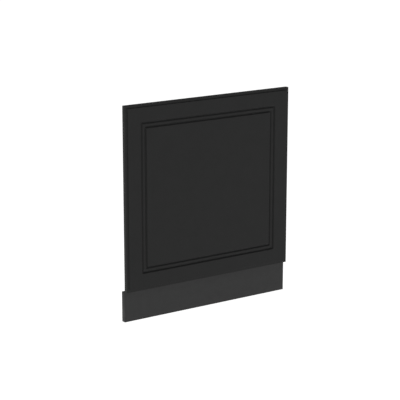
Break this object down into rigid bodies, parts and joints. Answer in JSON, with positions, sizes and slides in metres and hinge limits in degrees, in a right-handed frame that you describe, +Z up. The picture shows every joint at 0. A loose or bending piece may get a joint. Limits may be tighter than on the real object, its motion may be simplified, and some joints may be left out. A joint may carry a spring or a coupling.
{
  "type": "dishwasher front panel with plinth",
  "caption": "Framed decor front for a built-in dishwasher, with routed double line, hook plates on its back, and a separate plinth that pulls off the appliance's legs.",
  "frame": {"origin": "middle of the front's back face, the face that lies on the appliance's door", "axes": "+Z up, +X to the viewer's right when facing the front, -Y out of the face"},
  "size_m": [0.596, 0.0704, 0.666],
  "materials": {
    "anthracite_foil": "satin matt foil, smooth",
    "fibreboard": "raw medium density fibreboard",
    "white_melamine": "fine pearl texture",
    "zinc_steel": "bright zinc plated",
    "screw_steel": "bright zinc plated",
    "plinth_laminate": "smooth matt laminate",
    "chipboard": "raw chipboard",
    "backing_laminate": "plain balancing laminate",
    "black_plastic": "fine moulded texture"
  },
  "bodies": {
    "front": {"front_core": "fibreboard", "front_foil": "anthracite_foil", "front_back_sheet": "white_melamine", "hanger_left": "zinc_steel", "hanger_right": "zinc_steel", "hanger_screws": "screw_steel"},
    "plinth": {"plinth_core": "chipboard", "plinth_front_laminate": "plinth_laminate", "plinth_back_laminate": "backing_laminate", "plinth_band_left": "plinth_laminate", "plinth_band_right": "plinth_laminate", "plinth_band_top": "plinth_laminate", "plinth_band_bottom": "plinth_laminate", "clip_base_left": "black_plastic", "clip_base_right": "black_plastic", "clip_screws": "screw_steel"},
    "jaw_left": {"clip_jaw_left": "black_plastic"},
    "jaw_right": {"clip_jaw_right": "black_plastic"}
  },
  "joints": [
    {"name": "plinth_pull", "type": "slide", "parent": "front", "child": "plinth", "axis": [0, -1, 0], "range_m": [0, 0.12]},
    {"name": "jaw_left_slide", "type": "slide", "parent": "plinth", "child": "jaw_left", "axis": [1, 0, 0], "range_m": [-0.012, 0.012]},
    {"name": "jaw_right_slide", "type": "slide", "parent": "plinth", "child": "jaw_right", "axis": [1, 0, 0], "range_m": [-0.012, 0.012]}
  ]
}
